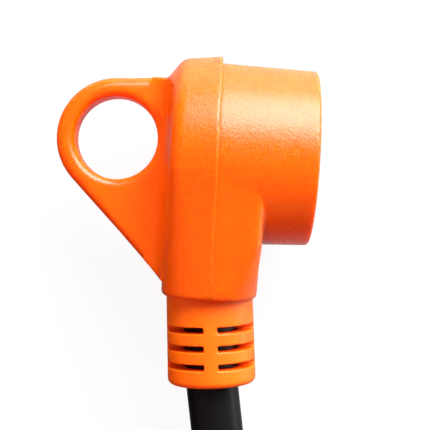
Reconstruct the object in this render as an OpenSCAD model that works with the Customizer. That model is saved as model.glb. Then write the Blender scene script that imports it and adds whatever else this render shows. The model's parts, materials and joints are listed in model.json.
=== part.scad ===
// Shore power cord: a right-angle 30 A socket head with a moulded finger ring, a long
// heavy flexible cord wound into a coil, and a matching plug at its far end.
// The socket head lies on its side on the floor, Z = 0. X runs out of its face, Y points
// away from its cord and Z is up. Millimetres and degrees.

/* [Rear cover] */
// Outer radius of the rear cover at the seam
cover_r = 31.7; // [31.2:0.1:33]
// Depth of the rear cover behind the seam
cover_depth = 14.8; // [14.4:0.1:17]
// Draft of the rear cover's wall in degrees
cover_draft = 4.5; // [2:0.5:6]
// Radius of the rounded edge round the back of the cover
cover_round = 4.5; // [3:0.1:5.5]
// Wall thickness of both shells
wall = 3; // [2.6:0.1:3.4]

/* [Front housing] */
// Outer radius of the front housing at the seam
shell_r = 29.5; // [29.2:0.1:30]
// Draft of the front housing in degrees
shell_draft = 2; // [1:0.25:2.75]
// Length of the socket's front housing from the seam to its rim
socket_len = 30.6; // [30.4:0.1:36]
// Length of the plug's front housing from the seam to its rim
plug_len = 26; // [25:0.1:32]
// Radius of the rounded rim
rim_round = 1; // [0.8:0.1:2]

/* [Neck] */
// Distance from the face axis to the end of the neck
neck_len = 46.7; // [46:0.1:52]
// Half thickness of the neck's front part
neck_front = 14.9; // [14.7:0.1:17]
// Half thickness of the neck's rear part at its end
neck_rear = 16.3; // [15.6:0.1:17]
// Half width of the neck at its end
neck_half = 19.3; // [18.5:0.1:22]
// How far the neck's front draws in halfway down
neck_waist = 0.4; // [0:0.1:0.8]
// Radius of the rounded edge at the neck's end
neck_round = 1.5; // [0.8:0.1:2]

/* [Handle] */
// Distance from the seam back to the centre of the finger hole
ring_x = 33.4; // [33:0.1:38]
// Height of the finger hole's centre above the face axis
ring_y = 3.3; // [0:0.1:5]
// Outer radius of the finger ring
ring_r = 19.6; // [19:0.1:22]
// Radius of the finger hole
finger_r = 13.4; // [12:0.1:13.7]
// Thickness of the handle
handle_t = 12; // [10.5:0.1:14]
// Radius of the handle's outer edges
handle_round = 3.5; // [2:0.1:4]
// Radius of the finger hole's rounded edges
finger_round = 2.5; // [1:0.1:3]
// Rise that makes the handle's lower edge slightly hollow
edge_rise = 0.3; // [0:0.1:1.2]
// Depth of the handle's raised root behind the seam
root_depth = 16.4; // [15.6:0.1:18]
// Radius of the hollow that blends the handle into its root
root_fillet = 6; // [3:0.1:6.5]
// Slope of the raised root's sides in degrees
root_slope = 10; // [6:1:16]

/* [Strain relief] */
// Outer radius of the strain relief at its free end
boot_r = 14.4; // [13.8:0.1:14.6]
// Angle by which the strain relief widens towards its free end
boot_flare = 0.5; // [0:0.1:1]
// Length of the strain relief outside the neck
boot_len = 28.3; // [27:0.1:36]
// Rounding of its free end
boot_round = 2; // [1:0.1:3]
// Angle by which the cord pulls the socket's strain relief over
boot_lean = 4.5; // [0:0.5:6]
// Height of each slot
slot_h = 2.1; // [1.5:0.1:2.6]
// Distance from one row of slots to the next
slot_pitch = 5.85; // [5:0.05:6.4]
// Distance from the neck to the middle of the first row
slot_first = 9.9; // [8:0.1:12]
// Width of the spine between the slots
spine_w = 4.3; // [3:0.1:6]
// Thickness of the web left between opposite slots
slot_web = 1.6; // [1:0.1:2.4]
// Number of rows of slots
slot_rows = 3; // [2:1:3]

/* [Cord] */
// Diameter of the cord's jacket
cord_d = 17; // [16.4:0.1:17.2]
// Distance of the cord's axis behind the seam
cord_back = 0.5; // [0:0.1:0.8]
// Turns of the coil from its start to its end
coil_turns = 9; // [5:2:11]
// Diameter of the coil at the middle of its turns
coil_mid_d = 257; // [244:1:264]
// Clear gap between neighbouring turns
turn_gap = 0.6; // [0.5:0.1:0.9]
// Width of each tie strap
tie_w = 20; // [12:1:26]
// Thickness of each tie strap
tie_t = 1.5; // [1:0.1:1.7]

/* [Contacts] */
// Width of a flat blade
blade_w = 8; // [7.4:0.1:8.2]
// Thickness of a flat blade
blade_t = 1.8; // [1.5:0.1:1.9]
// Length of the blades in front of the plug's face
blade_len = 18.5; // [16:0.1:20]
// Slant of the blades in degrees
blade_slant = 45; // [40:1:50]
// Diameter of the round earth pin
pin_d = 5.5; // [5:0.1:5.8]
// Length of the earth pin in front of the plug's face
pin_len = 21; // [18:0.1:23]
// Radial clearance of the earth pin in its socket
pin_gap = 0.1; // [0.05:0.01:0.2]
// Distance of each flat contact from the mirror plane
line_z = 8.5; // [8.3:0.1:9.5]
// Distance of both flat contacts below the face axis
line_drop = 4; // [3.5:0.1:5]
// Distance of the earth contact above the face axis
earth_y = 9.5; // [9:0.1:11]

/* [Fits] */
// Clearance between parts that slide into each other
fit = 0.1; // [0.05:0.01:0.2]
// Clearance round screws that pass through a part
screw_gap = 0.25; // [0.15:0.05:0.4]

/* [Hidden] */
$fn = 64;

eps = 0.01;
cord_r = cord_d / 2;
arc_steps = 6;          // steps of a rounded edge

// Shells
cover_back_r = cover_r - cover_depth * tan(cover_draft);
root_half = cover_back_r - cover_round + 1.2;   // half the root's width at the face axis
root_foot = 9.5;        // half its width at the neck's end
root_steps = 15;        // steps of its hollows
top_fillet = 2.2;       // hollow between the handle's upper edge and the cover
top_slope = 55;         // angle at which that hollow meets the root's upper end
rear_power = 3;         // squareness of the neck's end behind the seam
front_power = 2.2;      // and in front of it
waist_y = [neck_len - 17.7, neck_len - 10.7];  // the neck draws in between these heights
neck_top = 6.4;         // the neck's sides leave the round body here, below the face axis
hollow_r = shell_r - wall;
tongue_l = 3;           // the housing's tongue reaches this far into the cover
tongue_t = 1.7;
boss_r = 4;
boss_y = 16;
boss_z = 16;
low_boss_y = -19;
low_boss_z = 16;
boss_places = [[boss_y, boss_z], [boss_y, -boss_z], [low_boss_y, low_boss_z],
    [low_boss_y, -low_boss_z]];
rib = [2.5, 24];        // rib from each lower boss to the neck's side: thickness, far end
cover_screw_r = 1.75;
cover_screw_head_r = 3.1;
cover_screw_head_h = 2.4;
counterbore = 6;        // depth of the screw recesses in the back of the cover
cap_r = cover_screw_head_r + screw_gap - fit;   // radius of the caps that close them

// Insert, retainer and terminals, as distances behind the face
rim_recess = 0.5;       // the insert's face lies this far inside the rim
insert_t = 16.9;
web_t = 3;              // ring inside the housing that the insert and the retainer grip
web_r = 20;
flange_t = 2;
insert_r = shell_r - socket_len * tan(shell_draft) - wall - fit;
face_wall = 2.5;
leaf_t = 0.9;
leaf_gap = 0.1;
neck_plate = [3.3, 2.4];
block = [6.5, 8, 7];    // terminal block along X, Y and Z
terminal_screw_r = 1.75;
terminal_head = [3, 2.1];
wire_r = 2.3;
core_r = 1.6;
retainer_screw_r = 1.25;
retainer_screw_y = 16.4;
retainer_grip = 7;      // the retainer's screws reach this far into the insert
pin_root = 0.4;         // shoulder of the earth pin inside its insert

// Cord inside the socket head
clamp_y = neck_len - 14.7;
clamp_len = 10;
jacket_end = clamp_y - clamp_len / 2 - 3;   // the jacket ends this far below the face axis
clamp_half = 15.4;
clamp_arch = 2.2;       // thickness of the clamp over the cord
clamp_ear = 6;          // thickness of its ears
clamp_split = 0.4;      // half the gap between its two halves
clamp_top = clamp_split + clamp_ear;
clamp_screw_z = 12;
clamp_screw_r = 1.5;
clamp_screw_grip = 4;   // the clamp's screws reach this far into the cover's posts
clamp_head = [2.7, 1.8];
post_r = 3;
flange_r = neck_front - wall - fit;
groove_r = flange_r - 1.6;
boot_bore = cord_r + 0.25;

// The head's own box, without the cord, is centred on the origin
head_low = neck_len + (boot_len - boot_round) * cos(boot_lean)
    + (boot_r - boot_round) * sin(boot_lean) + boot_round;
head_mid = [(socket_len - ring_x - ring_r) / 2, (cover_r - head_low) / 2];

// Coil: two layers, wound inwards below and outwards on top
turn_pitch = cord_d + turn_gap;
layer_step = cord_d + turn_gap;
tie_gap = 0.3;
coil_z = tie_t + tie_gap + cord_r;
coil_centre = [-62, -295];
coil_start_a = 45;
climb_turns = 0.5;
layer_turns = (coil_turns - climb_turns) / 2;
coil_out_r = coil_mid_d / 2 + layer_turns * turn_pitch / 2;
coil_in_r = coil_out_r - layer_turns * turn_pitch;
rings_per_turn = 24;
coil_sides = 6;
coil_rings = coil_turns * rings_per_turn;
tie_angles = [90, 210, 330];

// Plug on top of the coil, with its blades pointing away from the socket head
plug_reach = 112;       // distance of the plug's seam plane from the coil's centre
plug_z = coil_z + layer_step + cord_r + tie_gap + cover_r;
plug_cord_y = neck_len + boot_len;
plug_place = [coil_centre[0] - plug_cord_y, coil_centre[1] - plug_reach, plug_z];

// Free stretches of the cord. The lead's points are [x, y, z]; the tail's are
// [radius, angle, z] about the centre of the coil.
lead_points = [[17, -78, 30], [21, -103, 24], [27, -128, 16], [36, -150, 11.2], [47, -165, 10.3]];
tail_points = [[169, 30, 28.8], [168, 18, 31], [168, 6, 36], [166, -6, 43], [158, -18, 49],
    [147, -31, 55], [135, -44, 60], [125, -57, 64], [117, -70, 67], [113, -80, 68.2]];

// ---------------------------------------------------------------- helpers

// Solid of revolution about the X axis; the outline's points are [radius, x].
module revolve_x(outline) rotate([0, 90, 0]) rotate_extrude() polygon(outline);

// Solid of revolution about the Y axis, reaching towards -Y; points are [radius, depth].
module revolve_down(outline) rotate([90, 0, 0]) rotate_extrude() polygon(outline);

module rod_x(r, x0, x1) translate([x0, 0, 0]) rotate([0, 90, 0]) cylinder(r = r, h = x1 - x0);

module at_yz(y, z) translate([0, y, z]) children();

module at_cord() translate([-cord_back, 0, 0]) children();

// Points of an arc from angle a0 to a1.
function arc(c, r, a0, a1, steps = arc_steps) = [for (i = [0:steps])
    let (a = a0 + (a1 - a0) * i / steps) [c[0] + r * cos(a), c[1] + r * sin(a)]];

function unit(v) = v / norm(v);
function polar(c, r, a, z) = [c[0] + r * cos(a), c[1] + r * sin(a), z];

// Ring of points round p, square to the direction d, which is never vertical.
function ring(p, d, r, sides) =
    let (side = unit(cross(d, [0, 0, 1])), up = cross(side, d))
    [for (i = [0:sides - 1])
        let (a = 360 * (i + 0.5) / sides) p + r * cos(a) * side + r * sin(a) * up];

function direction(route, i, first, last) =
    i == 0 ? unit(first) : i == len(route) - 1 ? unit(last) : unit(route[i + 1] - route[i - 1]);

// One closed tube through the points of a route; first and last are its end directions.
module tube(route, r, sides, first, last) {
    n = len(route);
    points = [for (i = [0:n - 1]) each ring(route[i], direction(route, i, first, last), r, sides)];
    walls = [for (i = [0:n - 2], j = [0:sides - 1])
        let (a = i * sides + j, b = i * sides + (j + 1) % sides)
        each [[a, b, b + sides], [a, b + sides, a + sides]]];
    start = [for (j = [1:sides - 2]) [0, j + 1, j]];
    end = [for (j = [1:sides - 2]) [(n - 1) * sides, (n - 1) * sides + j, (n - 1) * sides + j + 1]];
    polyhedron(points, concat(walls, start, end));
}

function length_of(route) = len(route) < 2 ? 0
    : [for (i = [1:len(route) - 1]) norm(route[i] - route[i - 1])] * [for (i = [1:len(route) - 1]) 1];

// ---------------------------------------------------------------- places

module at_head() translate([-head_mid[0], -head_mid[1], cover_r]) children();

// The plug is turned over, so that its face points along -Y and its cord comes from +X.
module at_plug() translate(plug_place) rotate([180, 0, -90]) children();

// ---------------------------------------------------------------- shells

// Cross-section of the neck at a height y: a plate of the given depth from the seam, half its
// width at the seam, and corner the rounding of its edges.
module plate(y, depth, half, corner) translate([0, -y, 0]) rotate([90, 0, 0])
    linear_extrude(eps) {
        translate([0, -half]) square([eps, 2 * half]);
        for (s = [-1, 1]) translate([depth - corner, s * (half - corner - 1)])
            circle(corner, $fn = 24);
    }

// Half of a rounded outline, depth by twice half; a higher power makes it squarer.
function bulge(depth, half, power) = [for (i = [0:18])
    let (a = -90 + 10 * i) [depth * pow(abs(cos(a)), 2 / power),
        half * sign(sin(a)) * pow(abs(sin(a)), 2 / power)]];

// Half of the neck: from one plate to the next, and from the last to its rounded end.
// plates holds [y, depth, half, corner]; end holds [y, depth, half, power, rounding].
module neck_loft(plates, end) {
    n = len(plates);
    for (i = [1:1:n - 1]) hull() {
        plate(plates[i - 1][0], plates[i - 1][1], plates[i - 1][2], plates[i - 1][3]);
        plate(plates[i][0], plates[i][1], plates[i][2], plates[i][3]);
    }
    hull() {
        plate(plates[n - 1][0], plates[n - 1][1], plates[n - 1][2], plates[n - 1][3]);
        for (k = [0:2]) {
            less = end[4] * (1 - cos(k * 45));
            translate([0, -end[0] + end[4] * (1 - sin(k * 45)), 0]) rotate([90, 0, 0])
                linear_extrude(eps) polygon(bulge(end[1] - less, end[2] - less, end[3]));
        }
    }
}

// Half the width of the front housing's neck at a height y.
function front_half(y) = shell_r - 0.8
    + (neck_half - shell_r + 0.8) * (y - neck_top) / (neck_len - neck_top);

// Radius of the rear cover's hollow at a depth behind the seam.
function cover_hollow_r(depth) =
    cover_r - wall - (cover_r - cover_back_r) * depth / (cover_depth - wall - 1);

// Space inside the rear cover: round behind the face, with the neck's hollow below.
module cover_hollow() {
    back = cover_depth - wall;
    revolve_x([[0, 0], [cover_hollow_r(0), 0], [cover_hollow_r(back - 1), -back + 1],
        [cover_hollow_r(back - 1) - 1, -back], [0, -back]]);
    mirror([1, 0, 0]) neck_loft([[neck_top, back, cover_r - wall - 0.8, 2]],
        [neck_len - wall, neck_rear - wall, neck_half - wall, rear_power, 0]);
}

module cover_outer() {
    c = [cover_back_r - cover_round, -cover_depth + cover_round];
    revolve_x(concat([[0, 0], [cover_r, 0]], arc(c, cover_round, 0, -90), [[0, -cover_depth]]));
    mirror([1, 0, 0]) neck_loft([[neck_top, cover_depth, cover_r - 0.7, cover_round]],
        [neck_len, neck_rear, neck_half, rear_power, neck_round]);
}

// Slope of the straight line that touches the ring below and ends at a point of the root.
function edge_slope(p) = let (v = [-ring_x, ring_y] - p)
    180 - atan2(v[1], v[0]) - asin(ring_r / norm(v));

root_top = ring_y + ring_r + 1.1;
root_low = [-root_depth - 0.2, -neck_len + 4.7];
edge_mid = -ring_x + 3;
edge_y = root_low[1] + (root_low[0] - edge_mid) * tan(edge_slope(root_low));

// Slice of the web at x, from y0 up to y1, with rounded corners.
module web_slice(x, y0, y1, t) translate([x, 0, 0]) rotate([0, -90, 0]) linear_extrude(t)
    for (y = [y1 - handle_round, y0 + handle_round], s = [-1, 1])
        translate([s * (handle_t / 2 - handle_round), y]) circle(handle_round, $fn = 24);

// Finger ring and web in one, with a raised root on the back of the cover.
module handle() {
    half = handle_t / 2;
    c = [ring_r - handle_round, half - handle_round];
    hull() {
        translate([-ring_x, ring_y, 0]) rotate_extrude($fn = 48)
            polygon(concat([[0, -half]], arc([c[0], -c[1]], handle_round, -90, 0),
                arc(c, handle_round, 0, 90), [[0, half]]));
        web_slice(edge_mid, edge_y + edge_rise, ring_y + ring_r + 0.1, eps);
    }
    hull() {
        web_slice(edge_mid, edge_y + edge_rise, ring_y + ring_r + 0.1, eps);
        web_slice(root_low[0] + 3, root_low[1], root_top, 3);
    }
    root();
}

// The root's cross-section has a hollow on each side of the web, then a slope to the cover.
// Above, a cone round the face axis ends it at the cover's rounded edge; below, it narrows
// to the neck's end.
module root() {
    c = [-root_depth - root_fillet, handle_t / 2 + root_fillet];
    foot = c + root_fillet * [cos(root_slope), -sin(root_slope)];
    far = c[0] - 1;
    inner = -cover_depth + 1;
    inner_r = cover_back_r - cover_round + sqrt(2 * cover_round - 1);
    half = foot[1] + (-cover_depth - foot[0]) / tan(root_slope);
    side = concat(arc(c, root_fillet, -90, -root_slope, root_steps),
        [[-cover_depth, half], [inner, half]]);
    low = root_low + [0, 0.4];
    intersection() {
        translate([0, cover_r, 0]) rotate([90, 0, 0]) linear_extrude(cover_r + neck_len)
            polygon(concat(side, [for (i = [len(side) - 1:-1:0]) [side[i][0], -side[i][1]]]));
        linear_extrude(4 * cover_r, center = true) polygon([[far, cover_r], [inner, cover_r],
            [inner, low[1]], low, [far, low[1] + (low[0] - far) * tan(edge_slope(root_low))]]);
        union() {
            revolve_x(concat([[0, far], [root_top, far]],
                arc([root_top + top_fillet, -root_depth - top_fillet], top_fillet,
                    180, 180 - top_slope, root_steps), [[inner_r, inner], [0, inner]]));
            translate([far, 0, 0]) rotate([90, 0, 90]) linear_extrude(-far)
                polygon([[0, root_half], [-neck_len, root_foot], [-neck_len, -root_foot],
                    [0, -root_half]]);
        }
    }
}

module finger_hole() {
    half = handle_t / 2;
    c = [finger_r + finger_round, half - finger_round];
    translate([-ring_x, ring_y, 0]) rotate_extrude()
        polygon(concat([[0, -half - 1], [c[0], -half - 1]],
            arc([c[0], -c[1]], finger_round, -90, -180), arc(c, finger_round, 180, 90),
            [[c[0], half + 1], [0, half + 1]]));
}

// Hole in the neck's end wall that the groove of the strain relief sits in.
module neck_mouth() at_cord() translate([0, -neck_len + wall + 1, 0]) rotate([90, 0, 0])
    cylinder(r = groove_r + fit, h = wall + 2);

module clamp_screw_places() at_cord() for (s = [-1, 1]) at_yz(-clamp_y, s * clamp_screw_z)
    children();

module cover_body() {
    cover_outer();
    handle();
}

module cover_shell() {
    difference() {
        cover_body();
        difference() {
            cover_hollow();
            for (p = boss_places) at_yz(p[0], p[1]) rod_x(boss_r, -cover_depth, 1);
            clamp_screw_places() rod_x(post_r, -neck_rear, -clamp_top);
        }
        finger_hole();
        neck_mouth();
        clamp_screw_places()
            rod_x(clamp_screw_r + fit / 2, -clamp_top - clamp_screw_grip, -clamp_top + 1);
        for (p = boss_places) at_yz(p[0], p[1]) {
            rod_x(cover_screw_r + screw_gap, -root_depth, 1);
            rod_x(cover_screw_head_r + screw_gap, -root_depth - 1, -cover_depth + counterbore);
        }
    }
}

module housing_shell(len) {
    tip_r = shell_r - len * tan(shell_draft);
    web_x = len - rim_recess - insert_t - web_t;
    difference() {
        union() {
            difference() {
                union() {
                    revolve_x(concat([[0, 0], [shell_r, 0]],
                        arc([tip_r - rim_round, len - rim_round], rim_round, 0, 90), [[0, len]]));
                    neck_loft([[neck_top, neck_front, front_half(neck_top), 3],
                        [waist_y[0], neck_front, front_half(waist_y[0]), 4],
                        [waist_y[1], neck_front - neck_waist, front_half(waist_y[1]), 7]],
                        [neck_len, neck_front, neck_half, front_power, neck_round]);
                }
                housing_hollow(web_x);
            }
            tongue();
            intersection() {
                for (p = boss_places) at_yz(p[0], p[1]) rod_x(boss_r, 0, web_x + 0.5);
                rod_x(shell_r - 1, 0, web_x + 0.5);
            }
            for (s = [0, 1]) mirror([0, 0, s])
                translate([0, low_boss_y - rib[0] / 2, low_boss_z])
                    cube([web_x, rib[0], rib[1] - low_boss_z]);
        }
        rod_x(insert_r + fit, web_x + web_t, len + 1);
        rod_x(web_r, web_x - 1, len + 1);
        neck_mouth();
        for (p = boss_places) at_yz(p[0], p[1])
            rod_x(cover_screw_r + fit / 2, -1, web_x - 1);
    }
}

module housing_hollow(web_x) {
    rod_x(hollow_r, -1, web_x);
    neck_loft([[neck_top, neck_front - wall, shell_r - wall - 0.8, 2]],
        [neck_len - wall, neck_front - wall, neck_half - wall, front_power, 0]);
}

// Lip round the upper body that reaches into the rear cover, between its screw bosses.
module tongue() {
    out = min(cover_hollow_r(tongue_l) - fit, shell_r - 0.4);
    difference() {
        intersection() {
            revolve_x([[out - tongue_t, -tongue_l], [out, -tongue_l], [out, 0.5],
                [out - tongue_t, 0.5]]);
            translate([-tongue_l - 1, -neck_top, -shell_r])
                cube([tongue_l + 3, shell_r + neck_top, 2 * shell_r]);
        }
        for (p = boss_places) at_yz(p[0], p[1]) rod_x(boss_r + 2 * fit, -tongue_l - 1, 0);
    }
}

// ---------------------------------------------------------------- insert and contacts

// The three contacts as [y, z, slant]; side is 1 for the socket and -1 for the plug that
// faces it, so that line meets line.
function line_at(side) = [-line_drop, side * line_z, side * blade_slant];
function neutral_at(side) = [-line_drop, -side * line_z, -side * blade_slant];
earth_at = [earth_y, 0, 0];

module at_contact(c) translate([0, c[0], c[1]]) rotate([c[2], 0, 0]) children();

module bar_x(x0, x1, w, t) translate([x0, -w / 2, -t / 2]) cube([x1 - x0, w, t]);

leaf_w = blade_w + 0.6;
leaf_h = blade_t + 2 * leaf_t + leaf_gap;

function insert_back(len) = len - rim_recess - insert_t;

module insert_disc(len, side) {
    x0 = insert_back(len);
    x1 = len - rim_recess;
    difference() {
        revolve_x([[0, x0], [insert_r, x0], [insert_r, x1 - 0.6], [insert_r - 0.6, x1], [0, x1]]);
        children();
        for (s = [-1, 1]) at_yz(s * retainer_screw_y, 0)
            rod_x(retainer_screw_r + fit / 2, x0 - 1, x0 + retainer_grip + 1);
    }
}

module retainer_disc(len, side) {
    x1 = insert_back(len);
    x0 = x1 - web_t - flange_t;
    difference() {
        revolve_x([[0, x0], [web_r + 1, x0], [web_r + 1, x1 - web_t], [web_r - fit, x1 - web_t],
            [web_r - fit, x1], [0, x1]]);
        for (c = [line_at(side), neutral_at(side)]) at_contact(c)
            bar_x(x0 - 1, x1 + 1, neck_plate[0] + 2 * fit, neck_plate[1] + 2 * fit);
        at_contact(earth_at)
            bar_x(x0 - 1, x1 + 1, neck_plate[0] + 2 * fit, neck_plate[1] + 2 * fit);
        for (s = [-1, 1]) at_yz(s * retainer_screw_y, 0)
            rod_x(retainer_screw_r + screw_gap, x0 - 1, x1 + 1);
        for (p = boss_places) at_yz(p[0], p[1]) rod_x(boss_r + fit, x0 - 1, x0 + flange_t);
    }
}

module retainer_screw_pair(len) {
    x1 = insert_back(len);
    x0 = x1 - web_t - flange_t;
    for (s = [-1, 1]) at_yz(s * retainer_screw_y, 0) difference() {
        union() {
            rod_x(retainer_screw_r, x0, x1 + retainer_grip);
            rod_x(2 * retainer_screw_r, x0 - 1.6, x0);
        }
        rotate([45, 0, 0]) cross_recess(x0 - 1.6, 0.9, 1.7, 0.5);
    }
}

// Crossed driver recess in a screw head whose top lies at x.
module cross_recess(x, depth, reach, w) for (a = [0, 90]) rotate([a, 0, 0])
    translate([x - 1, -reach, -w / 2]) cube([depth + 1, 2 * reach, w]);

// Block behind the retainer with a hole for the wire from below and one for its screw.
module terminal_block(len) {
    x1 = insert_back(len) - web_t - flange_t - fit;
    x0 = x1 - block[0];
    difference() {
        translate([x0, -block[1] / 2, -block[2] / 2]) cube(block);
        translate([wire_x(len), -block[1] / 2 - 1, 0]) rotate([-90, 0, 0])
            cylinder(r = core_r + fit, h = block[1] - 1);
        rod_x(terminal_screw_r + fit / 2, x0 - 1, wire_x(len));
    }
}

function wire_x(len) = insert_back(len) - web_t - flange_t - fit - block[0] / 2 + 0.4;

// Plate through the retainer that joins a contact of the given thickness to its block.
module terminal_neck(len, t) bar_x(insert_back(len) - web_t - flange_t - 2 * fit,
    insert_back(len) + 1, neck_plate[0], t);

// Two spring leaves with the blade's slot between them, and the block behind.
module leaf_contact(len, c) {
    x0 = insert_back(len) + 0.2;
    x1 = len - rim_recess - face_wall - fit;
    at_contact(c) {
        difference() {
            bar_x(x0, x1, leaf_w, leaf_h);
            bar_x(x0 + 1.5, x1 + 1, leaf_w + 1, blade_t + leaf_gap);
        }
        terminal_neck(len, neck_plate[1]);
    }
    at_yz(c[0], c[1]) terminal_block(len);
}

module earth_sleeve(len) at_contact(earth_at) {
    x0 = insert_back(len) + 0.2;
    x1 = len - rim_recess - face_wall - fit;
    difference() {
        rod_x(pin_d / 2 + pin_gap + leaf_t, x0, x1);
        rod_x(pin_d / 2 + pin_gap, x0 + 1.5, x1 + 1);
    }
    terminal_neck(len, neck_plate[1]);
    terminal_block(len);
}

module terminal_screw_set(len, side) {
    x0 = insert_back(len) - web_t - flange_t - fit - block[0];
    for (c = [line_at(side), neutral_at(side), earth_at]) at_yz(c[0], c[1]) difference() {
        union() {
            rod_x(terminal_screw_r, x0, wire_x(len) - core_r - 0.05);
            rod_x(terminal_head[0], x0 - terminal_head[1], x0);
        }
        rotate([45, 0, 0]) cross_recess(x0 - terminal_head[1], 1.2, 2.2, 0.7);
    }
}

// Wire from the end of the jacket up to the bottom of a terminal block.
wire_seat = 4.3;        // distance of the three wires from the cord's axis
line_seat = 75;         // angle of the line wire round it; earth lies at 180
module wire(len, c, seat_angle) {
    x = wire_x(len);
    low = -jacket_end;
    top = c[0] - block[1] / 2;
    start = [wire_seat * cos(seat_angle) - cord_back, low, wire_seat * sin(seat_angle)];
    goal = [x, top, c[1]];
    route = [for (k = [0:6])
        let (t = k / 6, s = t * t * (3 - 2 * t))
        [start[0] + (goal[0] - start[0]) * s, low + (top - 1 - low) * t,
            start[2] + (goal[2] - start[2]) * s]];
    tube(route, wire_r, 10, [0, 1, 0], [0, 1, 0]);
    translate([x, top - 1.5, c[1]]) rotate([-90, 0, 0])
        cylinder(r = core_r, h = block[1] - 0.5);
}

// ---------------------------------------------------------------- cord inside the heads

// Round bar along Y that bends by the lean at the neck's end, as two mitred pieces.
module bent_rod(r, up, down, lean) {
    far = 3 * r;
    translate([0, -neck_len, 0]) {
        intersection() {
            translate([0, -r, 0]) rotate([-90, 0, 0]) cylinder(r = r, h = up + r);
            rotate([0, 0, lean / 2]) translate([-far, 0, -far]) cube([2 * far, 2 * up, 2 * far]);
        }
        intersection() {
            rotate([90, 0, lean]) translate([0, 0, -r]) cylinder(r = r, h = down + r);
            rotate([0, 0, lean / 2]) translate([-far, -2 * down, -far])
                cube([2 * far, 2 * down, 2 * far]);
        }
    }
}

module jacket_end_piece(lean) at_cord()
    bent_rod(cord_r, neck_len - jacket_end, boot_len, lean);

// One half of the cord's clamp: an arch over the cord with an ear on each side.
module saddle() translate([0, -clamp_y + clamp_len / 2, 0]) difference() {
    intersection() {
        union() {
            rotate([90, 0, 0]) cylinder(r = cord_r + clamp_arch, h = clamp_len);
            translate([0, -clamp_len, -clamp_half]) cube([clamp_top, clamp_len, 2 * clamp_half]);
        }
        translate([clamp_split, -clamp_len, -clamp_half])
            cube([clamp_half, clamp_len, 2 * clamp_half]);
    }
    translate([0, 1, 0]) rotate([90, 0, 0]) cylinder(r = cord_r + fit / 2, h = clamp_len + 2);
    for (s = [-1, 1]) translate([0, -clamp_len / 2, s * clamp_screw_z])
        rod_x(clamp_screw_r + screw_gap, -1, clamp_top + 1);
}

module clamp_pair() at_cord() {
    saddle();
    mirror([1, 0, 0]) saddle();
}

module clamp_screw_pair() clamp_screw_places() difference() {
    union() {
        rod_x(clamp_screw_r, 0.5 - clamp_top - clamp_screw_grip, clamp_top);
        rod_x(clamp_head[0], clamp_top, clamp_top + clamp_head[1]);
    }
    mirror([1, 0, 0]) rotate([45, 0, 0]) cross_recess(-clamp_top - clamp_head[1], 1, 1.9, 0.6);
}

module cover_screw_set(len) for (p = boss_places) at_yz(p[0], p[1]) {
    seat = -cover_depth + counterbore;
    difference() {
        union() {
            rod_x(cover_screw_r, seat, insert_back(len) - web_t - 1.5);
            rod_x(cover_screw_head_r, seat - cover_screw_head_h, seat);
        }
        rotate([45, 0, 0]) cross_recess(seat - cover_screw_head_h, 1.3, 2.2, 0.7);
    }
}

// Caps over the cover's screws, flush with the back of the cover.
module cap_set() intersection() {
    cover_body();
    for (p = boss_places) at_yz(p[0], p[1])
        rod_x(cap_r, -root_depth - 1, -cover_depth + counterbore - cover_screw_head_h - fit);
}

// Slotted boot with a groove and flange inside the neck.
module boot(lean) at_cord() {
    difference() {
        union() {
            intersection() {
                translate([0, -neck_len, 0]) rotate([0, 0, lean])
                    revolve_down(concat([[0, -2], [boot_r - (boot_len + 2) * tan(boot_flare), -2]],
                        arc([boot_r - boot_round, boot_len - boot_round], boot_round, 0, 90),
                        [[0, boot_len]]));
                translate([-2 * boot_r, -neck_len - 2 * boot_len - fit / 2, -2 * boot_r])
                    cube([4 * boot_r, 2 * boot_len, 4 * boot_r]);
            }
            translate([0, -neck_len + wall + 3, 0]) revolve_down([[0, 0], [flange_r - 0.6, 0],
                [flange_r, 0.6], [flange_r, 2.9], [groove_r, 2.9], [groove_r, wall + 3.5],
                [0, wall + 3.5]]);
        }
        bent_rod(boot_bore, wall + 5, boot_len + 2, lean);
        translate([0, -neck_len, 0]) rotate([0, 0, lean])
            for (k = [0:slot_rows - 1], sx = [0, 1], sz = [0, 1])
                mirror([sx, 0, 0]) mirror([0, 0, sz])
                    translate([spine_w / 2, -slot_first - k * slot_pitch - slot_h / 2,
                        slot_web / 2])
                        cube([boot_r, slot_h, boot_r + 1]);
    }
}

// ---------------------------------------------------------------- free cord

heading = [sin(coil_start_a), -cos(coil_start_a), 0];

// Radius and height of the coil's centreline after t turns: in on the lower layer, round
// the half turn that reverses and climbs, and out on the upper layer.
function climb(t) = let (u = (t - layer_turns) / climb_turns) u <= 0 ? 0 : u >= 1 ? 1
    : 0.75 * u + 0.25 * u * u * (3 - 2 * u);
function coil_r(t) = t <= layer_turns ? coil_out_r - turn_pitch * t
    : t >= layer_turns + climb_turns ? coil_in_r + turn_pitch * (t - layer_turns - climb_turns)
    : let (u = (t - layer_turns) / climb_turns)
        coil_in_r - turn_pitch * climb_turns * u * (1 - u);
function coil_point(t) = polar(coil_centre, coil_r(t), coil_start_a - 360 * t,
    coil_z + layer_step * climb(t));

coil_first = coil_point(0) - cord_d * heading;
coil_last = coil_point(coil_turns) + cord_d * heading;
coil_route = concat([coil_first], [for (i = [0:coil_rings]) coil_point(i / rings_per_turn)],
    [coil_last]);

head_exit = [-head_mid[0] - cord_back + boot_len * sin(boot_lean),
    -head_mid[1] - neck_len - boot_len * cos(boot_lean), cover_r];
head_way = [sin(boot_lean), -cos(boot_lean), 0];
lead_route = concat([head_exit], lead_points, [coil_first]);

plug_entry = plug_place + [plug_cord_y, cord_back, 0];
plug_way = [-1, 0, 0];
tail_route = concat([coil_last], [for (p = tail_points) polar(coil_centre, p[0], p[1], p[2])],
    [plug_entry]);

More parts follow.
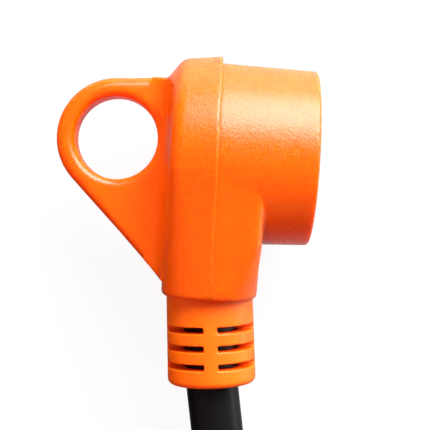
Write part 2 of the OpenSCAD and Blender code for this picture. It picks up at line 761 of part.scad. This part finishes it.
// Least clear distance from one turn to another, measured between centreline points that lie
// more than a third of a turn apart.
function coil_gap() = min([for (i = [0:coil_rings - 1], j = [i + 8:1:coil_rings])
    norm(coil_point(i / rings_per_turn) - coil_point(j / rings_per_turn))]) - cord_d;
function tail_gap() = min([for (p = tail_route, j = [0:coil_rings - 16])
    norm(p - coil_point(j / rings_per_turn))]) - cord_d;

echo(free_cord_mm = length_of(lead_route) + length_of(coil_route) + length_of(tail_route));
echo(lead_mm = length_of(lead_route), tail_mm = length_of(tail_route));
echo(coil_least_gap = coil_gap(), tail_least_gap = tail_gap());

// Strap round the whole bundle at one angle: it hugs all the turns that pass there. Across
// its width the turns bend and climb, so each one counts at its middle and at both edges.
module tie(a) {
    part = ((coil_start_a - a + 360) % 360) / 360;
    translate([coil_centre[0], coil_centre[1], 0]) rotate([90, 0, a])
        translate([0, 0, -tie_w / 2]) linear_extrude(tie_w) difference() {
            tie_outline(part, cord_r + tie_gap + tie_t);
            tie_outline(part, cord_r + tie_gap);
        }
}

module tie_outline(part, r) hull() for (k = [0:coil_turns - 1], edge = [-1, 0, 1]) {
    aside = asin(edge * tie_w / 2 / coil_r(part + k));
    turn = part + k + aside / 360;
    translate([coil_r(turn) * cos(aside), coil_z + layer_step * climb(turn)])
        circle(r, $fn = 32);
}

// ---------------------------------------------------------------- nodes

orange = [1, 0.42, 0.02];
black = [0.09, 0.09, 0.1];
charcoal = [0.16, 0.16, 0.17];
brass = [0.85, 0.65, 0.3];
steel = [0.75, 0.76, 0.78];

module rear_cover() color(orange) at_head() cover_shell();
module front_housing() color(orange) at_head() housing_shell(socket_len);
module socket_insert() color(charcoal) at_head() insert_disc(socket_len, 1) {
    x0 = insert_back(socket_len) - 1;
    x1 = socket_len - rim_recess;
    for (c = [line_at(1), neutral_at(1)]) at_contact(c) {
        bar_x(x0, x1 - face_wall, leaf_w + 2 * fit, leaf_h + 2 * fit);
        bar_x(x0, x1 + 1, blade_w + 0.4, blade_t + 0.4);
    }
    at_contact(earth_at) {
        rod_x(pin_d / 2 + pin_gap + leaf_t + fit, x0, x1 - face_wall);
        rod_x(pin_d / 2 + pin_gap, x0, x1 + 1);
    }
}
module contact_retainer() color(charcoal) at_head() retainer_disc(socket_len, 1);
module retainer_screws() color(steel) at_head() retainer_screw_pair(socket_len);
module line_contact() color(brass) at_head() leaf_contact(socket_len, line_at(1));
module neutral_contact() color(brass) at_head() leaf_contact(socket_len, neutral_at(1));
module earth_contact() color(brass) at_head() earth_sleeve(socket_len);
module terminal_screws() color(steel) at_head() terminal_screw_set(socket_len, 1);
module line_wire() color(black) at_head() wire(socket_len, line_at(1), line_seat);
module neutral_wire() color("white") at_head() wire(socket_len, neutral_at(1), -line_seat);
module earth_wire() color("green") at_head() wire(socket_len, earth_at, 180);
module cord_end() color(black) at_head() jacket_end_piece(boot_lean);
module cord_clamp() color(charcoal) at_head() clamp_pair();
module clamp_screws() color(steel) at_head() clamp_screw_pair();
module cover_screws() color(steel) at_head() cover_screw_set(socket_len);
module screw_caps() color(orange) at_head() cap_set();
module strain_relief() color(orange) at_head() boot(boot_lean);

module cord_lead() color(black) tube(lead_route, cord_r, 12, head_way, heading);
module cord_coil() color(black) tube(coil_route, cord_r, coil_sides, heading, heading);
module cord_tail() color(black) tube(tail_route, cord_r, 12, heading, plug_way);
module coil_ties() color(charcoal) for (a = tie_angles) tie(a);

module plug_rear_cover() color(orange) at_plug() cover_shell();
module plug_front_housing() color(orange) at_plug() housing_shell(plug_len);
module plug_insert() color(charcoal) at_plug() insert_disc(plug_len, -1) {
    x0 = insert_back(plug_len) - 1;
    for (c = [line_at(-1), neutral_at(-1)]) at_contact(c)
        bar_x(x0, plug_len + 1, blade_w + 2 * fit, blade_t + 2 * fit);
    at_contact(earth_at) rod_x(pin_d / 2 + pin_root + fit, x0, plug_len + 1);
}
module plug_retainer() color(charcoal) at_plug() retainer_disc(plug_len, -1);
module plug_retainer_screws() color(steel) at_plug() retainer_screw_pair(plug_len);
module blade(c) {
    tip = plug_len - rim_recess + blade_len;
    at_contact(c) {
        difference() {
            bar_x(insert_back(plug_len), tip, blade_w, blade_t);
            for (s = [0, 1]) mirror([0, s, 0]) translate([tip, blade_w / 2, 0])
                rotate([0, 0, 45]) cube([3, 3, 2 * blade_t], center = true);
        }
        terminal_neck(plug_len, blade_t);
    }
    at_yz(c[0], c[1]) terminal_block(plug_len);
}
module line_blade() color(brass) at_plug() blade(line_at(-1));
module neutral_blade() color(steel) at_plug() blade(neutral_at(-1));
module earth_pin() color(brass) at_plug() at_contact(earth_at) {
    face = plug_len - rim_recess;
    tip = face + pin_len;
    rod_x(pin_d / 2 + pin_root, insert_back(plug_len), face);
    rod_x(pin_d / 2, face - 1, tip - pin_d / 2);
    translate([tip - pin_d / 2, 0, 0]) sphere(pin_d / 2);
    terminal_neck(plug_len, neck_plate[1]);
    terminal_block(plug_len);
}
module plug_terminal_screws() color(steel) at_plug() terminal_screw_set(plug_len, -1);
module plug_line_wire() color(black) at_plug() wire(plug_len, line_at(-1), -line_seat);
module plug_neutral_wire() color("white") at_plug() wire(plug_len, neutral_at(-1), line_seat);
module plug_earth_wire() color("green") at_plug() wire(plug_len, earth_at, 180);
module plug_cord_end() color(black) at_plug() jacket_end_piece(0);
module plug_cord_clamp() color(charcoal) at_plug() clamp_pair();
module plug_clamp_screws() color(steel) at_plug() clamp_screw_pair();
module plug_cover_screws() color(steel) at_plug() cover_screw_set(plug_len);
module plug_screw_caps() color(orange) at_plug() cap_set();
module plug_strain_relief() color(orange) at_plug() boot(0);

rear_cover();
front_housing();
socket_insert();
contact_retainer();
retainer_screws();
line_contact();
neutral_contact();
earth_contact();
terminal_screws();
line_wire();
neutral_wire();
earth_wire();
cord_end();
cord_clamp();
clamp_screws();
cover_screws();
screw_caps();
strain_relief();
cord_lead();
cord_coil();
cord_tail();
coil_ties();
plug_rear_cover();
plug_front_housing();
plug_insert();
plug_retainer();
plug_retainer_screws();
line_blade();
neutral_blade();
earth_pin();
plug_terminal_screws();
plug_line_wire();
plug_neutral_wire();
plug_earth_wire();
plug_cord_end();
plug_cord_clamp();
plug_clamp_screws();
plug_cover_screws();
plug_screw_caps();
plug_strain_relief();
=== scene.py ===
import json
import math

import bmesh
import bpy
from mathutils import Matrix, Vector


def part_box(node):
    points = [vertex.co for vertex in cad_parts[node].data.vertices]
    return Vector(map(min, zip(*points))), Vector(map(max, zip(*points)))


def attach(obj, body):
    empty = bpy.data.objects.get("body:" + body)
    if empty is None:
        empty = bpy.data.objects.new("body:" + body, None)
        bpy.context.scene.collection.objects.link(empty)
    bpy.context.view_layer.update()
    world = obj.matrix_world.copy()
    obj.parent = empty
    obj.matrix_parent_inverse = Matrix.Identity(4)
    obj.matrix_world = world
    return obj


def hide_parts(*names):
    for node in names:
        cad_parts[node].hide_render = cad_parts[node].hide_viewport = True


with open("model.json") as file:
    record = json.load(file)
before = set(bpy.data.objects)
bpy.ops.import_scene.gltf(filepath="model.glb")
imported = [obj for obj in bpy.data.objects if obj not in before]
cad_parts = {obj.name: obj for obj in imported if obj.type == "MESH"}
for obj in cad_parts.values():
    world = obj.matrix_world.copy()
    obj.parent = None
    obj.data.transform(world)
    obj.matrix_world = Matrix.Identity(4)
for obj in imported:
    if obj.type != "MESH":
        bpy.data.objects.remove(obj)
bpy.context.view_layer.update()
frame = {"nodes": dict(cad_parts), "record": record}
NODES = frame["nodes"]

bl_info = {
    "name": "Shore power cord",
    "version": (1, 0, 0),
    "blender": (4, 5, 0),
    "location": "View3D > Sidebar > Shore cord",
    "description": "Finishes a coiled shore power cord with its socket head and its plug",
    "category": "Add Mesh",
}

MM = 0.001
BODY = "root"

# ---------------------------------------------------------------- sizes taken from the frame

cover_low, cover_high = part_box("rear_cover")
plug_low, plug_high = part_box("plug_rear_cover")
COVER_RADIUS = (cover_high.z - cover_low.z) / 2
# Where the face axis of each head crosses its seam
HEAD = Vector((cover_high.x, cover_high.y - COVER_RADIUS, cover_low.z + COVER_RADIUS))
PLUG = Vector((plug_low.x + COVER_RADIUS, plug_low.y, plug_low.z + COVER_RADIUS))
HEAD_PLACE = Matrix.Translation(HEAD)
# The plug is turned over: its face points along -Y and its cord comes from +X
PLUG_PLACE = (Matrix.Translation(PLUG) @ Matrix.Rotation(math.radians(-90), 4, "Z")
              @ Matrix.Rotation(math.radians(180), 4, "X"))

# ---------------------------------------------------------------- the cord's route

NECK_LENGTH = 46.7 * MM
BOOT_LENGTH = 28.3 * MM
BOOT_LEAN = math.radians(4.5)
# How far the cord's line lies behind the seam
CORD_BACK = 0.5 * MM
CORD_DIAMETER = 17 * MM
COIL_TURNS = 9
COIL_MIDDLE_DIAMETER = 257 * MM
TURN_GAP = 0.6 * MM
TURN_PITCH = CORD_DIAMETER + TURN_GAP
COIL_CENTRE = Vector((-62, -295)) * MM
# Degrees at which the coil starts and, after whole turns, ends
COIL_START = 45
TIE_THICKNESS = 1.5 * MM
TIE_GAP = 0.3 * MM
COIL_HEIGHT = TIE_THICKNESS + TIE_GAP + CORD_DIAMETER / 2
# Part of a turn in which the cord climbs from the lower layer to the upper
CLIMB_TURNS = 0.5
POINTS_PER_TURN = 24
SPLINE_STEPS = 6
LAYER_TURNS = (COIL_TURNS - CLIMB_TURNS) / 2
OUTER_RADIUS = COIL_MIDDLE_DIAMETER / 2 + LAYER_TURNS * TURN_PITCH / 2
INNER_RADIUS = OUTER_RADIUS - LAYER_TURNS * TURN_PITCH
# Points on the way from the head to the coil, in millimetres
LEAD = [(17, -78, 30), (21, -103, 24), (27, -128, 16), (36, -150, 11.2), (47, -165, 10.3)]
# Radius and angle about the coil's centre and height, on the way from the coil to the plug
TAIL = [(169, 30, 28.8), (168, 18, 31), (168, 6, 36), (166, -6, 43), (158, -18, 49),
        (147, -31, 55), (135, -44, 60), (125, -57, 64), (117, -70, 67), (113, -80, 68.2)]


def round_coil(radius, degrees, height):
    angle = math.radians(degrees)
    return Vector((COIL_CENTRE.x + radius * math.cos(angle),
                   COIL_CENTRE.y + radius * math.sin(angle), height))


def coil_point(turns):
    """The coil's centreline after some turns: in below, up and round, and out on top."""
    climb = (turns - LAYER_TURNS) / CLIMB_TURNS
    if climb <= 0:
        radius, rise = OUTER_RADIUS - TURN_PITCH * turns, 0
    elif climb >= 1:
        radius, rise = INNER_RADIUS + TURN_PITCH * (turns - LAYER_TURNS - CLIMB_TURNS), 1
    else:
        radius = INNER_RADIUS - TURN_PITCH * CLIMB_TURNS * climb * (1 - climb)
        rise = 0.75 * climb + 0.25 * climb * climb * (3 - 2 * climb)
    return round_coil(radius, COIL_START - 360 * turns, COIL_HEIGHT + TURN_PITCH * rise)


def heading(angle):
    """The way that turns from -Y towards +X by an angle."""
    return Vector((math.sin(angle), -math.cos(angle), 0))


def cord_route():
    leaving = heading(BOOT_LEAN)
    onward = heading(math.radians(COIL_START))
    start = HEAD - Vector((CORD_BACK, NECK_LENGTH, 0)) + BOOT_LENGTH * leaving
    turns = [coil_point(i / POINTS_PER_TURN) for i in range(COIL_TURNS * POINTS_PER_TURN + 1)]
    route = [start] + [Vector(p) * MM for p in LEAD] + turns
    route.append(turns[-1] + CORD_DIAMETER * onward)
    route += [round_coil(r * MM, angle, z * MM) for r, angle, z in TAIL]
    route.append(PLUG + Vector((NECK_LENGTH + BOOT_LENGTH, CORD_BACK, 0)))
    return route


# ---------------------------------------------------------------- stage and moulded pieces

CAMERA_LENS = 78.2
CAMERA_FROM_HEAD = Vector((-0.1, -20.07, 307)) * MM
CAMERA_TURN = math.radians(3)
FLOOR_HALF_WIDTH = 4
FLOOR_COLOUR = (0.85, 0.85, 0.85, 1)
# The part of the floor's own shading that the camera sees, which holds the shadow
SHADOW_SHARE = 0.08
# Each lamp's place from the head and its size in metres, its colour, and if gloss shows it
LAMPS = {
    "key": ((0.40, 0.89, 0.71), (1.20, 1.16), (1, 1, 1), True),
    "side": ((1.05, 0.38, 0.28), (0.80, 0.60), (1, 1, 1), True),
    "fill": ((-0.55, -0.62, 0.80), (1.4, 1.0), (1, 0.2, 0.12), False),
    "back": ((-1.05, 0.12, 0.32), (0.9, 0.4), (1, 1, 1), False),
}

# The spark texture, measured from where a head's face axis crosses its seam
NECK_GRAIN = 0.3
GRAIN_FADE_Y = (-16 * MM, 2 * MM)
GRAIN_FADE_X = (-15 * MM, -10 * MM)
# How deep a housing's edge goes into its cover, from where on, and the stretch that fades it
LET_IN_DEPTH = 0.7 * MM
LET_IN_FROM = -1 * MM
LET_IN_FADE = (0.3 * MM, 1.6 * MM)
# How many times larger the plug's faces are than the head's
PLUG_VOXELS = 1.3
SHELL_SMOOTHING = 2
BOOT_SMOOTHING = 1
WELD_DISTANCE = 1e-6


# ---------------------------------------------------------------- materials

class Socket:
    """A value in a material that takes part in Python sums."""

    def __init__(self, graph, socket):
        self.graph, self.socket = graph, socket

    def math(self, operation, *values):
        numbers = {i: value for i, value in enumerate(values)}
        return self.graph.node("ShaderNodeMath", {"operation": operation}, numbers)

    def __add__(self, other):
        return self.math("ADD", self, other)

    def __radd__(self, other):
        return self.math("ADD", other, self)

    def __sub__(self, other):
        return self.math("SUBTRACT", self, other)

    def __rsub__(self, other):
        return self.math("SUBTRACT", other, self)

    def __mul__(self, other):
        return self.math("MULTIPLY", self, other)

    def __rmul__(self, other):
        return self.math("MULTIPLY", other, self)


class Graph:
    """The nodes of one material or world."""

    def __init__(self, owner):
        owner.use_nodes = True
        self.tree = owner.node_tree
        self.tree.nodes.clear()

    def node(self, kind, settings=None, values=None, output=0):
        """Adds a node: its settings first, then the values or links of its sockets."""
        made = self.tree.nodes.new(kind)
        for name, value in (settings or {}).items():
            if name == "stops":
                ramp = made.color_ramp
                while len(ramp.elements) < len(value):
                    ramp.elements.new(0.5)
                for element, (place, colour) in zip(ramp.elements, value):
                    element.position, element.color = place, colour
            else:
                setattr(made, name, value)
        for name, value in (values or {}).items():
            if isinstance(value, Socket):
                self.tree.links.new(value.socket, made.inputs[name])
            else:
                made.inputs[name].default_value = value
        return Socket(self, made.outputs[output])

    def coordinates(self):
        return self.node("ShaderNodeTexCoord", output="Object")

    def noise(self, scale, detail=2, roughness=0.5):
        return self.node("ShaderNodeTexNoise", {}, {
            "Vector": self.coordinates(), "Scale": scale, "Detail": detail,
            "Roughness": roughness})

    def ramp(self, factor, *stops):
        grey = [(place, (value, value, value, 1)) for place, value in stops]
        return self.node("ShaderNodeValToRGB", {"stops": grey}, {"Fac": factor})

    def mix(self, factor, first, second):
        return self.node("ShaderNodeMix", {"data_type": "RGBA"},
                         {0: factor, 6: first, 7: second}, output=2)

    def fade(self, value, start, end, first, last):
        """Goes smoothly from first to last while the value goes from start to end."""
        return self.node("ShaderNodeMapRange", {"interpolation_type": "SMOOTHSTEP"}, {
            "Value": value, "From Min": start, "From Max": end, "To Min": first,
            "To Max": last})

    def bump(self, height, strength, depth, under=None):
        values = {"Height": height, "Strength": strength, "Distance": depth}
        if under:
            values["Normal"] = under
        return self.node("ShaderNodeBump", {}, values)

    def attribute(self, name):
        return self.node("ShaderNodeAttribute", {"attribute_name": name}, output="Fac")

    def seen_directly(self):
        """1 for what the camera sees itself or through glass."""
        camera = self.node("ShaderNodeLightPath", output="Is Camera Ray")
        through = self.node("ShaderNodeLightPath", output="Is Transmission Ray")
        return camera.math("MAXIMUM", camera, through)

    def surface(self, **values):
        values = {name.replace("_", " "): value for name, value in values.items()}
        self.finish(self.node("ShaderNodeBsdfPrincipled", {}, values))

    def finish(self, shader, kind="ShaderNodeOutputMaterial"):
        out = self.tree.nodes.new(kind)
        self.tree.links.new(shader.socket, out.inputs["Surface"])


def rgba(colour, share=1):
    """A colour with its alpha, darkened to a share of itself."""
    return (colour[0] * share, colour[1] * share, colour[2] * share, 1)


def shell_orange(material):
    """Satin injection-moulded plastic: a fine spark texture, smooth where grain is 0."""
    graph = Graph(material)
    colours = bpy.context.scene.shore_cord_colours
    grain = graph.attribute("grain")
    pits = graph.noise(1500, detail=2, roughness=0.6)
    graph.surface(
        Base_Color=graph.mix(graph.noise(45, detail=1), rgba(colours.shell),
                             rgba(colours.shell_deep)),
        Roughness=(pits - 0.5) * grain * 0.9 + 0.26,
        Normal=graph.bump(pits * grain, 1.0, 0.13 * MM),
        Subsurface_Weight=0.75, Subsurface_Radius=(1, 0.2, 0.06), Subsurface_Scale=4 * MM)


def boot_orange(material):
    graph = Graph(material)
    colours = bpy.context.scene.shore_cord_colours
    graph.surface(
        Base_Color=graph.mix(graph.noise(60, detail=1), rgba(colours.boot),
                             rgba(colours.shell_deep)),
        Roughness=graph.noise(700) * 0.1 + 0.33,
        Normal=graph.bump(graph.noise(2600, detail=2), 0.2, 0.05 * MM),
        Subsurface_Weight=0.5, Subsurface_Radius=(1, 0.15, 0.02), Subsurface_Scale=5 * MM)


def jacket_black(material):
    graph = Graph(material)
    fine = graph.noise(2400, detail=3, roughness=0.7)
    graph.surface(
        Base_Color=graph.mix(graph.noise(160), (0.003, 0.003, 0.003, 1), (0.005, 0.005, 0.005, 1)),
        Roughness=graph.noise(500) * 0.08 + 0.29, IOR=1.38,
        Normal=graph.bump(fine, 0.12, 0.05 * MM))


def insert_black(material):
    graph = Graph(material)
    graph.surface(
        Base_Color=graph.mix(graph.noise(300), (0.018, 0.018, 0.019, 1), (0.03, 0.03, 0.032, 1)),
        Roughness=graph.noise(800) * 0.15 + 0.45,
        Normal=graph.bump(graph.noise(1800, detail=3), 0.25, 0.06 * MM))


def metal(material, colour, roughness):
    graph = Graph(material)
    streaks = graph.noise(1400, detail=2)
    graph.surface(
        Base_Color=graph.mix(graph.noise(260), rgba(colour), rgba(colour, 0.88)),
        Roughness=streaks * 0.16 + roughness, Metallic=1.0,
        Normal=graph.bump(streaks, 0.12, 0.02 * MM))


def insulation(material, colour):
    graph = Graph(material)
    graph.surface(
        Base_Color=graph.mix(graph.noise(220), rgba(colour), rgba(colour, 0.9)),
        Roughness=graph.noise(600) * 0.1 + 0.35)


def strap_black(material):
    """Hook-and-loop strap: a fuzzy loop pile over a crossed weave."""
    graph = Graph(material)
    loops = graph.noise(1800, detail=4, roughness=0.8)
    weave = graph.node("ShaderNodeTexVoronoi", {}, {
        "Vector": graph.coordinates(), "Scale": 900, "Randomness": 0.35})
    graph.surface(
        Base_Color=graph.ramp(loops, (0.35, 0.006), (0.7, 0.030)),
        Roughness=0.9,
        Normal=graph.bump(loops, 0.7, 0.25 * MM, graph.bump(weave, 0.8, 0.3 * MM)),
        Sheen_Weight=0.15)


FINISHES = {
    "shell_orange": shell_orange,
    "boot_orange": boot_orange,
    "jacket_black": jacket_black,
    "insert_black": insert_black,
    "brass": lambda material: metal(material, (0.78, 0.55, 0.24), 0.22),
    "nickel": lambda material: metal(material, (0.70, 0.69, 0.66), 0.20),
    "screw_steel": lambda material: metal(material, (0.60, 0.61, 0.62), 0.28),
    "wire_black": lambda material: insulation(material, (0.02, 0.02, 0.02)),
    "wire_white": lambda material: insulation(material, (0.80, 0.80, 0.78)),
    "wire_green": lambda material: insulation(material, (0.03, 0.28, 0.07)),
    "strap_black": strap_black,
}


def finish(slot):
    """The named finish, made once."""
    name = slot + "_finish"
    material = bpy.data.materials.get(name)
    if material is None:
        material = bpy.data.materials.new(name)
        FINISHES[slot](material)
    return material


SLOTS = {row["node"]: row["material_slot"] for row in frame["record"]["subparts"]}


def give_finish(piece, slot):
    piece.data.materials.clear()
    piece.data.materials.append(finish(slot))
    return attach(piece, BODY)


# ---------------------------------------------------------------- mesh helpers

def add_piece(name, mesh):
    piece = bpy.data.objects.new(name, mesh)
    bpy.context.scene.collection.objects.link(piece)
    return piece


def merged(node):
    """A closed copy of a CAD node's mesh."""
    shape = bmesh.new()
    shape.from_mesh(NODES[node].data)
    bmesh.ops.remove_doubles(shape, verts=shape.verts, dist=WELD_DISTANCE)
    mesh = bpy.data.meshes.new(node)
    shape.to_mesh(mesh)
    shape.free()
    return mesh


def moulded(name, node, voxel, passes):
    """A copy of a node with every edge softened as a mould leaves it; it replaces the node."""
    rough = add_piece(name + "_rough", merged(node))
    remesh = rough.modifiers.new("remesh", "REMESH")
    remesh.mode = "VOXEL"
    remesh.voxel_size = voxel
    smooth = rough.modifiers.new("smooth", "SMOOTH")
    smooth.factor = 0.5
    smooth.iterations = passes
    seen = rough.evaluated_get(bpy.context.evaluated_depsgraph_get())
    mesh = bpy.data.meshes.new_from_object(seen)
    mesh.name = name
    mesh.shade_smooth()
    bpy.data.objects.remove(rough)
    piece = add_piece(name, mesh)
    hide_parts(node)
    return give_finish(piece, SLOTS[node])


def paint(piece, name, value_at):
    """Stores a number at every point of a piece, for its finish to read."""
    layer = piece.data.attributes.new(name, "FLOAT", "POINT")
    layer.data.foreach_set("value", [value_at(v.co) for v in piece.data.vertices])


def step(low, high, value):
    t = min(1, max(0, (value - low) / (high - low)))
    return t * t * (3 - 2 * t)


# ---------------------------------------------------------------- settings

class ShoreCordColours(bpy.types.PropertyGroup):
    shell: bpy.props.FloatVectorProperty(
        name="Shells", description="Colour of the moulded shells", subtype="COLOR",
        default=(1.0, 0.137, 0.0), min=0, max=1)
    shell_deep: bpy.props.FloatVectorProperty(
        name="Shells, deeper", description="Deeper tone that clouds the shells", subtype="COLOR",
        default=(1.0, 0.126, 0.0), min=0, max=1)
    boot: bpy.props.FloatVectorProperty(
        name="Strain reliefs", description="Colour of the flexible strain reliefs",
        subtype="COLOR", default=(1.0, 0.188, 0.0), min=0, max=1)


class ShoreCordSizes(bpy.types.PropertyGroup):
    shell_voxel: bpy.props.FloatProperty(
        name="Shell detail", description="Size of the faces on the moulded shells",
        default=0.52 * MM, min=0.3 * MM, max=3 * MM, unit="LENGTH")
    small_voxel: bpy.props.FloatProperty(
        name="Small detail", description="Size of the faces on the small pieces",
        default=0.3 * MM, min=0.15 * MM, max=1 * MM, unit="LENGTH")
    cord_sides: bpy.props.IntProperty(
        name="Cord smoothness", description="Steps round a quarter of the cord",
        default=6, min=2, max=12)


class ShoreCordLight(bpy.types.PropertyGroup):
    key: bpy.props.FloatProperty(
        name="Key light", description="Power of the large soft light above the head",
        default=54.0, min=0, max=500)
    side: bpy.props.FloatProperty(
        name="Side light", description="Power of the soft light in front of the socket's face",
        default=4.0, min=0, max=500)
    back: bpy.props.FloatProperty(
        name="Back light", description="Power of the soft light behind the finger ring",
        default=2.4, min=0, max=500)
    fill: bpy.props.FloatProperty(
        name="Fill light", description="Power of the red light on the cord's side",
        default=6.5, min=0, max=500)
    room: bpy.props.FloatProperty(
        name="Room", description="Brightness of the room",
        default=0.12, min=0, max=3)


# ---------------------------------------------------------------- pieces

class SHORECORD_OT_stage(bpy.types.Operator):
    """Floor, light and camera"""
    bl_idname = "shore_cord.stage"
    bl_label = "Stage"

    def execute(self, context):
        scene = context.scene
        scene.view_settings.view_transform = "Standard"
        self.camera(scene)
        self.floor()
        self.world(scene)
        self.lamps(scene)
        return {"FINISHED"}

    def camera(self, scene):
        data = bpy.data.cameras.new("camera")
        data.lens = CAMERA_LENS
        data.clip_start, data.clip_end = 0.01, 20
        camera = add_piece("camera", data)
        camera.location = HEAD + CAMERA_FROM_HEAD
        camera.rotation_euler = (0, 0, CAMERA_TURN)
        scene.camera = camera

    def floor(self):
        shape = bmesh.new()
        bmesh.ops.create_grid(shape, x_segments=1, y_segments=1, size=FLOOR_HALF_WIDTH)
        mesh = bpy.data.meshes.new("floor")
        shape.to_mesh(mesh)
        shape.free()
        floor = add_piece("floor", mesh)
        material = bpy.data.materials.new("floor")
        graph = Graph(material)
        paper = graph.node("ShaderNodeBsdfDiffuse", {}, {"Color": FLOOR_COLOUR})
        place = graph.coordinates()
        away = graph.node("ShaderNodeVectorMath", {"operation": "LENGTH"}, {0: place},
                          output="Value")
        shade = graph.fade(away, 0.5, 1.5, SHADOW_SHARE, 0)
        key_side = graph.node("ShaderNodeVectorMath", {"operation": "DOT_PRODUCT"}, {
            0: place, 1: (0.6, 0.8, 0)}, output="Value")
        face_side = graph.node("ShaderNodeSeparateXYZ", {}, {"Vector": place}, output="X")
        # The floor's own light, which the camera doesn't see: strong towards the key light,
        # faint on the side that the socket faces and fainter elsewhere
        thrown = (graph.fade(key_side, -0.08, 0.35, 0, 2.8)
                  + graph.fade(face_side, -0.03, 0.01, 0.02, 0.14))
        seen = graph.seen_directly()
        glow = graph.node("ShaderNodeEmission", {}, {
            "Color": (1, 1, 1, 1), "Strength": seen + (1 - seen) * thrown})
        graph.finish(graph.node("ShaderNodeMixShader", {}, {
            0: 1 - seen * shade, 1: paper, 2: glow}))
        floor.data.materials.append(material)

    def world(self, scene):
        world = bpy.data.worlds.new("room")
        scene.world = world
        graph = Graph(world)
        room = scene.shore_cord_light.room
        background = graph.node("ShaderNodeBackground", {}, {
            "Color": (1, 1, 1, 1), "Strength": graph.seen_directly() * (1 - room) + room})
        graph.finish(background, "ShaderNodeOutputWorld")

    def lamps(self, scene):
        """Soft boxes that face the middle of the head."""
        for name, (place, size, colour, in_gloss) in LAMPS.items():
            data = bpy.data.lights.new(name, "AREA")
            data.shape = "RECTANGLE"
            data.size, data.size_y = size
            data.energy = getattr(scene.shore_cord_light, name)
            data.color = colour
            lamp = add_piece(name, data)
            place = Vector(place)
            lamp.location = HEAD + place
            lamp.rotation_euler = place.to_track_quat("Z", "Y").to_euler()
            lamp.visible_glossy = in_gloss


class SHORECORD_OT_cord(bpy.types.Operator):
    """The whole free cord: out of the socket head, round the coil and into the plug"""
    bl_idname = "shore_cord.cord"
    bl_label = "Cord"

    def execute(self, context):
        curve = bpy.data.curves.new("cord", "CURVE")
        curve.dimensions = "3D"
        curve.bevel_depth = CORD_DIAMETER / 2
        curve.bevel_resolution = context.scene.shore_cord_sizes.cord_sides
        curve.resolution_u = SPLINE_STEPS
        curve.use_fill_caps = True
        route = cord_route()
        line = curve.splines.new("BEZIER")
        line.bezier_points.add(len(route) - 1)
        for point, place in zip(line.bezier_points, route):
            point.co = place
            point.handle_left_type = point.handle_right_type = "AUTO"
        cord = add_piece("cord", curve)
        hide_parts("cord_lead", "cord_coil", "cord_tail")
        give_finish(cord, "jacket_black")
        return {"FINISHED"}


class SHORECORD_OT_shells(bpy.types.Operator):
    """The rear covers and front housings of both heads"""
    bl_idname = "shore_cord.shells"
    bl_label = "Shells"

    def execute(self, context):
        voxel = context.scene.shore_cord_sizes.shell_voxel
        for name, place, size in (("", HEAD_PLACE, voxel),
                                  ("plug_", PLUG_PLACE, PLUG_VOXELS * voxel)):
            back = place.inverted()
            for node in ("rear_cover", "front_housing"):
                piece = moulded(name + node + "_shell", name + node, size, SHELL_SMOOTHING)
                paint(piece, "grain", lambda co: self.grain(back @ co))
                if node == "front_housing":
                    self.let_in(piece, place)
        return {"FINISHED"}

    def grain(self, point):
        """Full on the round bodies, faint on the necks and none at the finger rings."""
        on_body = NECK_GRAIN + (1 - NECK_GRAIN) * step(*GRAIN_FADE_Y, point.y)
        return on_body * step(*GRAIN_FADE_X, point.x)

    def let_in(self, piece, place):
        """Lets the housing's edge into the cover, so that the seam is one fine line."""
        back, outward = place.inverted(), place.to_3x3() @ Vector((1, 0, 0))
        for v in piece.data.vertices:
            x = (back @ v.co).x
            if x > LET_IN_FROM:
                v.co -= outward * (LET_IN_DEPTH * (1 - step(*LET_IN_FADE, x)))


class SHORECORD_OT_boots(bpy.types.Operator):
    """The slotted strain reliefs"""
    bl_idname = "shore_cord.boots"
    bl_label = "Strain reliefs"

    def execute(self, context):
        voxel = context.scene.shore_cord_sizes.small_voxel
        moulded("strain_relief_boot", "strain_relief", voxel, BOOT_SMOOTHING)
        moulded("plug_strain_relief_boot", "plug_strain_relief", PLUG_VOXELS * voxel,
                BOOT_SMOOTHING)
        return {"FINISHED"}


class SHORECORD_OT_inner_parts(bpy.types.Operator):
    """Finishes for the pieces that keep their CAD shape"""
    bl_idname = "shore_cord.inner_parts"
    bl_label = "Inner parts"

    def execute(self, context):
        for name, node in NODES.items():
            if not node.hide_render:
                node.data.materials.clear()
                node.data.materials.append(finish(SLOTS[name]))
        return {"FINISHED"}


OPERATORS = (SHORECORD_OT_stage, SHORECORD_OT_cord, SHORECORD_OT_shells, SHORECORD_OT_boots,
             SHORECORD_OT_inner_parts)
GROUPS = {"shore_cord_colours": ShoreCordColours, "shore_cord_sizes": ShoreCordSizes,
          "shore_cord_light": ShoreCordLight}


class SHORECORD_PT_panel(bpy.types.Panel):
    """Lists the cord's settings and pieces"""
    bl_idname = "SHORECORD_PT_panel"
    bl_label = "Shore power cord"
    bl_space_type = "VIEW_3D"
    bl_region_type = "UI"
    bl_category = "Shore cord"

    def draw(self, context):
        for group in GROUPS:
            settings = getattr(context.scene, group)
            for name in settings.bl_rna.properties.keys():
                if name not in ("rna_type", "name"):
                    self.layout.prop(settings, name)
        for operator in OPERATORS:
            self.layout.operator(operator.bl_idname)


def register():
    for made in (*GROUPS.values(), *OPERATORS, SHORECORD_PT_panel):
        bpy.utils.register_class(made)
    for name, group in GROUPS.items():
        setattr(bpy.types.Scene, name, bpy.props.PointerProperty(type=group))


def unregister():
    for name in GROUPS:
        delattr(bpy.types.Scene, name)
    for made in (SHORECORD_PT_panel, *reversed(OPERATORS), *reversed(GROUPS.values())):
        bpy.utils.unregister_class(made)


def declare_cord():
    """Works out the cord's route and takes its first point, which is not kept or used."""
    cord_route()[0]


def main():
    register()
    for operator in OPERATORS:
        group, name = operator.bl_idname.split(".")
        getattr(getattr(bpy.ops, group), name)()
    declare_cord()


if __name__ == "__main__":
    main()
